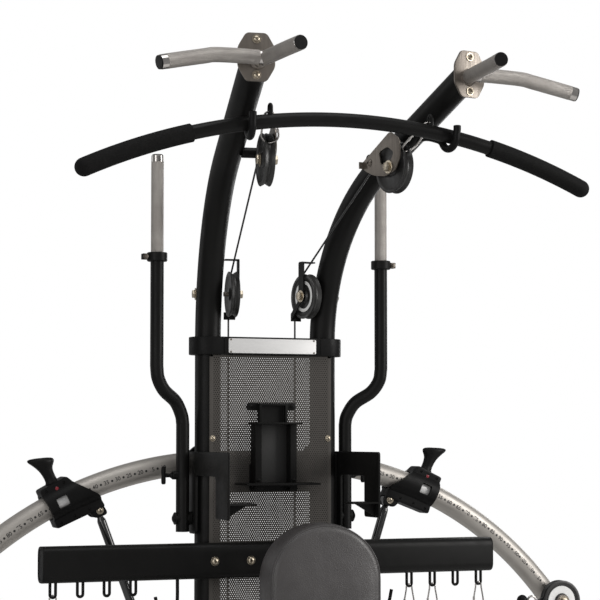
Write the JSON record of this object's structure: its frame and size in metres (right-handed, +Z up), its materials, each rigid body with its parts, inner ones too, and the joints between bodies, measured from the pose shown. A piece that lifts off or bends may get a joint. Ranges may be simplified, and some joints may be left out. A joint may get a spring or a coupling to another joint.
{
  "type": "functional trainer",
  "caption": "Free-standing home gym with arc resistance rails, overhead lat bar, pull-up handles, folding dip arms, seat, backrest and leg developer.",
  "frame": {"origin": "on the floor, under the middle of the machine's box", "axes": "+X across the machine, towards the side of the nodes named right; -Y is the front, where the seat is; +Z up"},
  "size_m": [1.5578, 1.212, 2.0585],
  "materials": {
    "powder_coat": "satin black powder coat",
    "perforated_sheet": "black painted perforated sheet",
    "moulded_plastic": "moulded black plastic",
    "pulley_nylon": "black nylon",
    "knurled_chrome": "knurled chrome",
    "plated_steel": "plated steel",
    "silver_rail": "silver coated tube",
    "gloss_cylinder": "gloss black",
    "chromed_rod": "polished rod",
    "foam": "closed-cell foam",
    "leather": "black upholstery leather",
    "cable_jacket": "coated steel cable"
  },
  "bodies": {
    "frame": {"left_upright": "powder_coat", "right_upright": "powder_coat", "cross_beam": "powder_coat", "accessory_bracket": "powder_coat", "left_arm_bracket": "powder_coat", "right_arm_bracket": "powder_coat", "arc_hub_plate": "powder_coat", "left_mid_pulley_bracket": "powder_coat", "right_mid_pulley_bracket": "powder_coat", "left_bar_hook": "powder_coat", "right_bar_hook": "powder_coat", "rear_foot": "powder_coat", "floor_beam": "powder_coat", "front_foot": "powder_coat", "seat_post": "powder_coat", "seat_frame": "powder_coat", "backrest_post": "powder_coat", "mesh_panel": "perforated_sheet", "column_collar": "moulded_plastic", "left_pull_up_handle": "knurled_chrome", "right_pull_up_handle": "knurled_chrome", "left_top_pulley_bracket": "plated_steel", "right_top_pulley_bracket": "plated_steel", "left_end_pulley_axle": "plated_steel", "right_end_pulley_axle": "plated_steel", "left_arc_rail": "silver_rail", "right_arc_rail": "silver_rail", "seat_pad": "leather", "backrest_pad": "leather", "left_cable": "cable_jacket", "right_cable": "cable_jacket"},
    "lat_bar": {"lat_bar": "powder_coat", "left_lat_grip": "foam", "right_lat_grip": "foam"},
    "lever": {"lever": "powder_coat"},
    "leg_developer": {"leg_arm": "powder_coat"},
    "left_dip_arm": {"left_dip_arm": "powder_coat", "left_dip_handle": "knurled_chrome"},
    "left_pull_pin": {"left_pull_pin": "moulded_plastic"},
    "left_slider": {"left_slider": "moulded_plastic"},
    "left_selector_knob": {"left_selector_knob": "moulded_plastic"},
    "left_gas_tube": {"left_gas_tube": "gloss_cylinder"},
    "left_gas_rod": {"left_gas_rod": "chromed_rod"},
    "left_top_pulley": {"left_top_pulley": "pulley_nylon"},
    "left_mid_pulley": {"left_mid_pulley": "pulley_nylon"},
    "left_end_pulley": {"left_end_pulley": "pulley_nylon"},
    "left_knee_roller": {"left_knee_roller": "foam"},
    "left_ankle_roller": {"left_ankle_roller": "foam"},
    "right_dip_arm": {"right_dip_arm": "powder_coat", "right_dip_handle": "knurled_chrome"},
    "right_pull_pin": {"right_pull_pin": "moulded_plastic"},
    "right_slider": {"right_slider": "moulded_plastic"},
    "right_selector_knob": {"right_selector_knob": "moulded_plastic"},
    "right_gas_tube": {"right_gas_tube": "gloss_cylinder"},
    "right_gas_rod": {"right_gas_rod": "chromed_rod"},
    "right_top_pulley": {"right_top_pulley": "pulley_nylon"},
    "right_mid_pulley": {"right_mid_pulley": "pulley_nylon"},
    "right_end_pulley": {"right_end_pulley": "pulley_nylon"},
    "right_knee_roller": {"right_knee_roller": "foam"},
    "right_ankle_roller": {"right_ankle_roller": "foam"}
  },
  "joints": [
    {"name": "lat_bar_lift", "type": "slide", "parent": "frame", "child": "lat_bar", "axis": [0, -0.0995, 0.995], "range_m": [0, 0.038]},
    {"name": "lever_lift", "type": "hinge", "parent": "frame", "child": "lever", "pos_m": [0, 0.309, 0.4671], "axis": [1, 0, 0], "range_deg": [0, 18], "stiffness_Nm_per_rad": 60, "springref_deg": -20.05},
    {"name": "leg_developer_swing", "type": "hinge", "parent": "frame", "child": "leg_developer", "pos_m": [0, -0.359, 0.36], "axis": [-1, 0, 0], "range_deg": [0, 85]},
    {"name": "left_resistance_setting", "type": "hinge", "parent": "frame", "child": "left_slider", "pos_m": [-0.08, 0.572, 0.43], "axis": [0, -1, 0], "range_deg": [-12.3, 21.9]},
    {"name": "left_knob_pull", "type": "slide", "parent": "left_slider", "child": "left_selector_knob", "axis": [-0.4321, 0, 0.9018], "range_m": [0, 0.01], "stiffness_N_per_m": 600, "springref_m": -0.004},
    {"name": "left_gas_tube_pivot", "type": "hinge", "parent": "left_slider", "child": "left_gas_tube", "pos_m": [-0.34931, 0.572, 1.13748], "axis": [0, -1, 0], "range_deg": [0, 2.23]},
    {"name": "left_gas_rod_stroke", "type": "slide", "parent": "left_gas_tube", "child": "left_gas_rod", "axis": [-0.3558, 0, 0.9346], "range_m": [0, 0.0698]},
    {"name": "left_dip_arm_fold", "type": "hinge", "parent": "frame", "child": "left_dip_arm", "pos_m": [-0.187, 0.511, 1.132], "axis": [1, 0, 0], "range_deg": [0, 90]},
    {"name": "left_pull_pin_slide", "type": "slide", "parent": "left_dip_arm", "child": "left_pull_pin", "axis": [-1, 0, 0], "range_m": [0, 0.012], "stiffness_N_per_m": 500, "springref_m": -0.004},
    {"name": "left_top_pulley_spin", "type": "hinge", "parent": "frame", "child": "left_top_pulley", "pos_m": [-0.13999, 0.15501, 1.846], "axis": [0.9848, -0.1736, 0], "range_deg": [0, 90]},
    {"name": "left_mid_pulley_spin", "type": "hinge", "parent": "frame", "child": "left_mid_pulley", "pos_m": [-0.08517, 0.48663, 1.6058], "axis": [0.9848, -0.1736, 0], "range_deg": [0, 98]},
    {"name": "left_end_pulley_spin", "type": "hinge", "parent": "frame", "child": "left_end_pulley", "pos_m": [-0.73142, 0.527, 0.92805], "axis": [0, 1, 0], "continuous": true},
    {"name": "left_knee_roller_spin", "type": "hinge", "parent": "frame", "child": "left_knee_roller", "pos_m": [-0.114, -0.353, 0.432], "axis": [1, 0, 0], "continuous": true},
    {"name": "left_ankle_roller_spin", "type": "hinge", "parent": "leg_developer", "child": "left_ankle_roller", "pos_m": [-0.114, -0.359, 0.13], "axis": [1, 0, 0], "continuous": true},
    {"name": "right_resistance_setting", "type": "hinge", "parent": "frame", "child": "right_slider", "pos_m": [0.08, 0.572, 0.43], "axis": [0, 1, 0], "range_deg": [-9.3, 24.9]},
    {"name": "right_knob_pull", "type": "slide", "parent": "right_slider", "child": "right_selector_knob", "axis": [0.3843, 0, 0.9232], "range_m": [0, 0.01], "stiffness_N_per_m": 600, "springref_m": -0.004},
    {"name": "right_gas_tube_pivot", "type": "hinge", "parent": "right_slider", "child": "right_gas_tube", "pos_m": [0.31191, 0.572, 1.1506], "axis": [0, 1, 0], "range_deg": [0, 1.93]},
    {"name": "right_gas_rod_stroke", "type": "slide", "parent": "right_gas_tube", "child": "right_gas_rod", "axis": [0.3064, 0, 0.9519], "range_m": [0, 0.0713]},
    {"name": "right_dip_arm_fold", "type": "hinge", "parent": "frame", "child": "right_dip_arm", "pos_m": [0.187, 0.511, 1.132], "axis": [1, 0, 0], "range_deg": [0, 90]},
    {"name": "right_pull_pin_slide", "type": "slide", "parent": "right_dip_arm", "child": "right_pull_pin", "axis": [1, 0, 0], "range_m": [0, 0.012], "stiffness_N_per_m": 500, "springref_m": -0.004},
    {"name": "right_top_pulley_spin", "type": "hinge", "parent": "frame", "child": "right_top_pulley", "pos_m": [0.13999, 0.15501, 1.846], "axis": [0.9848, 0.1736, 0], "range_deg": [0, 90]},
    {"name": "right_mid_pulley_spin", "type": "hinge", "parent": "frame", "child": "right_mid_pulley", "pos_m": [0.08517, 0.48663, 1.6058], "axis": [0.9848, 0.1736, 0], "range_deg": [0, 98]},
    {"name": "right_end_pulley_spin", "type": "hinge", "parent": "frame", "child": "right_end_pulley", "pos_m": [0.73142, 0.527, 0.92805], "axis": [0, 1, 0], "continuous": true},
    {"name": "right_knee_roller_spin", "type": "hinge", "parent": "frame", "child": "right_knee_roller", "pos_m": [0.114, -0.353, 0.432], "axis": [1, 0, 0], "continuous": true},
    {"name": "right_ankle_roller_spin", "type": "hinge", "parent": "leg_developer", "child": "right_ankle_roller", "pos_m": [0.114, -0.359, 0.13], "axis": [1, 0, 0], "continuous": true}
  ],
  "couplings": [
    {"joint": "left_gas_tube_pivot", "follows": "lever_lift", "ratio": 0.12213},
    {"joint": "left_gas_rod_stroke", "follows": "lever_lift", "m_per_rad": 0.21912},
    {"joint": "left_top_pulley_spin", "follows": "lever_lift", "ratio": 4.945},
    {"joint": "left_mid_pulley_spin", "follows": "lever_lift", "ratio": 5.398},
    {"joint": "right_gas_tube_pivot", "follows": "lever_lift", "ratio": 0.10538},
    {"joint": "right_gas_rod_stroke", "follows": "lever_lift", "m_per_rad": 0.22363},
    {"joint": "right_top_pulley_spin", "follows": "lever_lift", "ratio": 4.945},
    {"joint": "right_mid_pulley_spin", "follows": "lever_lift", "ratio": 5.398}
  ]
}
